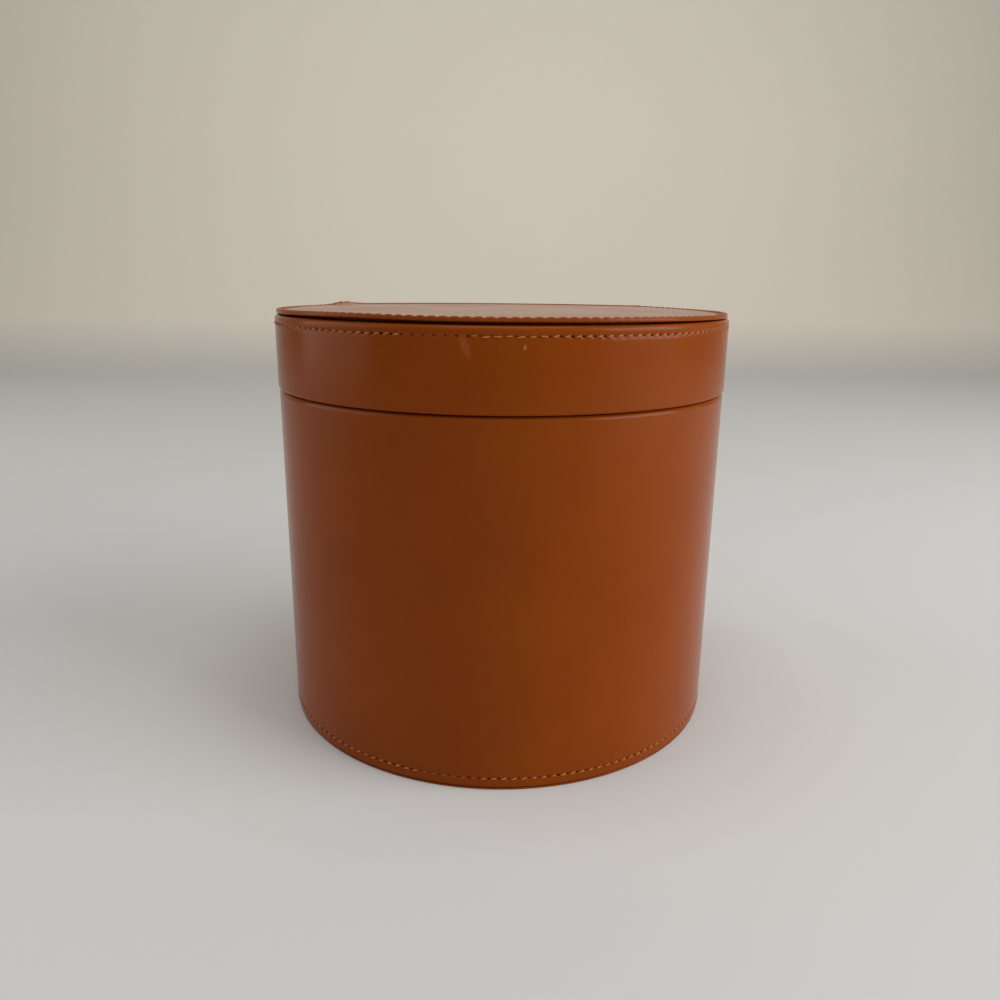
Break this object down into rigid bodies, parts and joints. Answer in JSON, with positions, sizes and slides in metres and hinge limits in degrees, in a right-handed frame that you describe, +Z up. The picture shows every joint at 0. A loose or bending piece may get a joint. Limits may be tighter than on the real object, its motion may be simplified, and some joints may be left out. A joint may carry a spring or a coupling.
{
  "type": "hair tool storage case",
  "caption": "Flat-backed leather-covered drum case with a deep hinged lid, stitched edges, a guiding collar and a suede-lined inside for hair tools.",
  "frame": {"origin": "on the floor, at the centre of the footprint's bounding box", "axes": "+X to the right seen from the front, +Y to the flat hinged back, +Z up"},
  "size_m": [0.2104, 0.1714, 0.1918],
  "materials": {
    "tan_leather": "smooth, semi-gloss",
    "grey_board": "matt",
    "suede": "napped",
    "tan_thread": "waxed",
    "wadding": "soft",
    "magnet_steel": "plated"
  },
  "bodies": {
    "case_body": {"base_panel": "tan_leather", "base_board": "grey_board", "wall_board": "grey_board", "back_board": "grey_board", "wall_leather": "tan_leather", "base_thread": "tan_thread", "back_leather": "tan_leather", "hinge_leather": "tan_leather", "collar_board": "grey_board", "keeper_left": "magnet_steel", "keeper_right": "magnet_steel", "wall_lining": "suede", "floor_pad": "suede"},
    "lid": {"lid_band_board": "grey_board", "lid_back_board": "grey_board", "lid_top_board": "grey_board", "lid_magnet_left": "magnet_steel", "lid_magnet_right": "magnet_steel", "lid_band_leather": "tan_leather", "lid_band_thread": "tan_thread", "lid_back_leather": "tan_leather", "top_wadding": "wadding", "top_panel_board": "grey_board", "top_panel_leather": "tan_leather", "top_panel_thread": "tan_thread", "lid_wall_lining": "suede", "lid_ceiling_pad": "suede"}
  },
  "joints": [
    {"name": "lid_hinge", "type": "hinge", "parent": "case_body", "child": "lid", "pos_m": [0, 0.0855, 0.1562], "axis": [-1, 0, 0], "range_deg": [0, 175], "deforming": ["hinge_leather"]}
  ]
}
